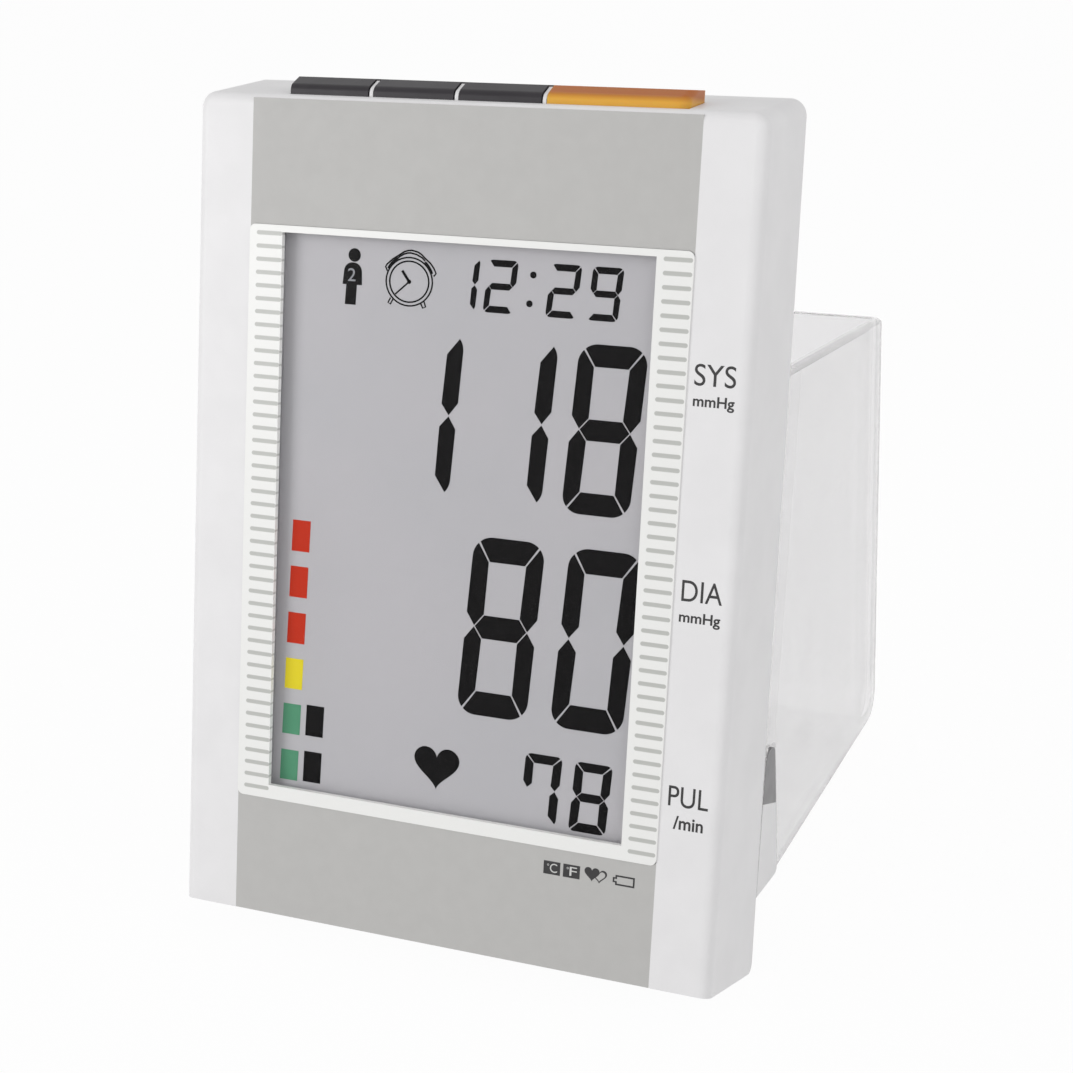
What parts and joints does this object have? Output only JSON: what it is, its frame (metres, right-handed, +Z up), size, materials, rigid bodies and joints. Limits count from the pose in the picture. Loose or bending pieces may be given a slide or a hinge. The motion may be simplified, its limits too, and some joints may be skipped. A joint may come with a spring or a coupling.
{
  "type": "blood pressure monitor",
  "caption": "Upright home blood pressure monitor with a large display, top keys and a clear open storage bin behind it.",
  "frame": {"origin": "below the middle of the bounding box, on the table plane", "axes": "+X to the right as the user faces the display, +Y to the rear, towards the bin, +Z up"},
  "size_m": [0.1138, 0.1568, 0.1715],
  "materials": {
    "white_case": "fine spark texture",
    "grey_inlay": "fine matte sheet",
    "white_frame": "satin",
    "clear_lens": "clear, polished",
    "lcd_glass": "clear, polished",
    "natural_plastic": "as moulded",
    "elastomer": "fine ribs",
    "circuit_board": "solder mask",
    "plated_steel": "nickel plated",
    "black_epoxy": "moulded epoxy",
    "black_plastic": "as moulded",
    "aluminium_can": "drawn can",
    "dark_key": "satin",
    "amber_key": "translucent, satin",
    "ferrite": "sintered",
    "motor_copper": "wound copper",
    "dark_rubber": "matte",
    "clear_tube": "smooth silicone",
    "socket_grey": "as moulded",
    "cell_sleeve": "printed sleeve",
    "nickel_contact": "nickel plated spring steel",
    "clear_bin": "clear moulded"
  },
  "bodies": {
    "unit": {"air_hose": "clear_tube", "air_manifold": "natural_plastic", "air_socket": "socket_grey", "base_feet": "dark_rubber", "battery_cells": "cell_sleeve", "battery_contacts": "nickel_contact", "battery_springs": "nickel_contact", "bin_stops": "dark_rubber", "board_capacitors": "aluminium_can", "board_screws": "plated_steel", "buzzer": "black_plastic", "case_screws": "plated_steel", "controller_chip": "black_epoxy", "dc_jack": "black_plastic", "display_frame": "white_frame", "display_window": "clear_lens", "front_cover": "white_case", "key_board": "circuit_board", "lcd_front_glass": "lcd_glass", "lcd_holder": "natural_plastic", "lcd_rear_glass": "lcd_glass", "link_tubes": "clear_tube", "lower_inlay": "grey_inlay", "main_board": "circuit_board", "memory_chip": "black_epoxy", "motor_magnets": "ferrite", "pressure_sensor": "black_epoxy", "pump_can": "plated_steel", "pump_head": "black_plastic", "pump_pad": "dark_rubber", "rear_cover": "white_case", "tact_switches": "black_plastic", "upper_inlay": "grey_inlay", "valve_body": "plated_steel", "zebra_strip": "elastomer"},
    "memory_key": {"memory_key": "dark_key", "memory_plunger": "black_plastic"},
    "user_key": {"user_key": "dark_key", "user_plunger": "black_plastic"},
    "set_key": {"set_key": "dark_key", "set_plunger": "black_plastic"},
    "start_key": {"start_key": "amber_key", "start_plunger": "black_plastic"},
    "bin": {"storage_bin": "clear_bin", "bin_feet": "dark_rubber"},
    "battery_door": {"battery_door": "white_case"},
    "pump_rotor": {"pump_rotor": "motor_copper"},
    "valve_plunger": {"valve_plunger": "plated_steel"}
  },
  "joints": [
    {"name": "memory_press", "type": "slide", "parent": "unit", "child": "memory_key", "axis": [0, -0.1391, -0.9903], "range_m": [0, 0.0007], "stiffness_N_per_m": 400, "springref_m": -0.0006},
    {"name": "user_press", "type": "slide", "parent": "unit", "child": "user_key", "axis": [0, -0.1391, -0.9903], "range_m": [0, 0.0007], "stiffness_N_per_m": 400, "springref_m": -0.0006},
    {"name": "set_press", "type": "slide", "parent": "unit", "child": "set_key", "axis": [0, -0.1391, -0.9903], "range_m": [0, 0.0007], "stiffness_N_per_m": 400, "springref_m": -0.0006},
    {"name": "start_press", "type": "slide", "parent": "unit", "child": "start_key", "axis": [0, -0.1391, -0.9903], "range_m": [0, 0.0007], "stiffness_N_per_m": 400, "springref_m": -0.0006},
    {"name": "bin_lift", "type": "slide", "parent": "unit", "child": "bin", "axis": [0, 0.1391, 0.9903], "range_m": [0, 0.15]},
    {"name": "battery_door_turn", "type": "hinge", "parent": "unit", "child": "battery_door", "pos_m": [0, -0.02528, 0.02142], "axis": [-1, 0, 0], "range_deg": [0, 70]},
    {"name": "rotor_turn", "type": "hinge", "parent": "unit", "child": "pump_rotor", "pos_m": [0, -0.02888, 0.12411], "axis": [1, 0, 0], "continuous": true},
    {"name": "valve_close", "type": "slide", "parent": "unit", "child": "valve_plunger", "axis": [0, 0.1391, 0.9903], "range_m": [0, 0.001], "stiffness_N_per_m": 60, "springref_m": -0.0008}
  ]
}
